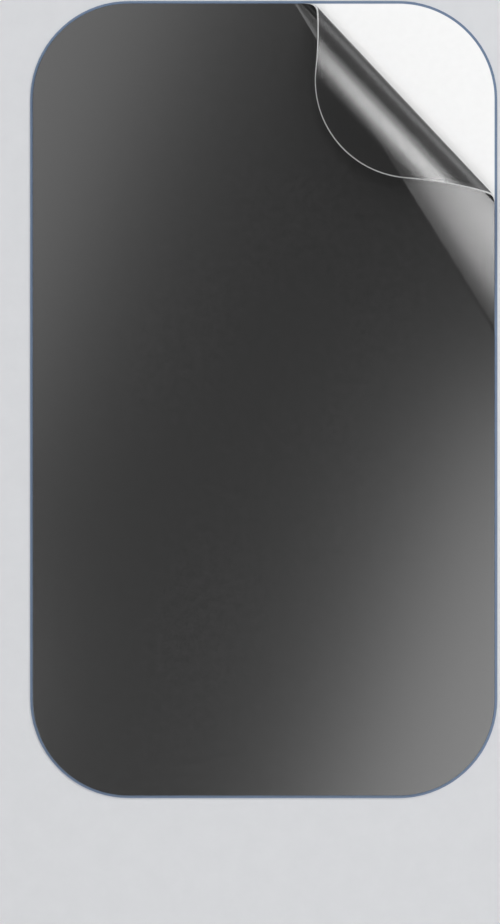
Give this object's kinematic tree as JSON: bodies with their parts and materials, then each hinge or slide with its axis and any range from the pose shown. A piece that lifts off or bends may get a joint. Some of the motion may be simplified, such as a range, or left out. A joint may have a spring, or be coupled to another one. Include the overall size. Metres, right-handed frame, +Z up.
{
  "type": "phone screen protector",
  "caption": "Rounded dark film that covers a phone's screen, lying on its white backing sheet, with a corner peeled up and folded back over itself.",
  "frame": {"origin": "centre of the backing sheet's outline, on its underside", "axes": "+X to the right across the width, +Y along the length to the peeled end, +Z up out of the film's face"},
  "size_m": [0.0668, 0.114, 0.007],
  "materials": {
    "smoked_film": "glossy, smoke grey and slightly see-through",
    "white_backing": "smooth white with a thin grey-blue printed rim"
  },
  "bodies": {
    "root": {"protector_film": "smoked_film", "backing_sheet": "white_backing"}
  },
  "joints": []
}
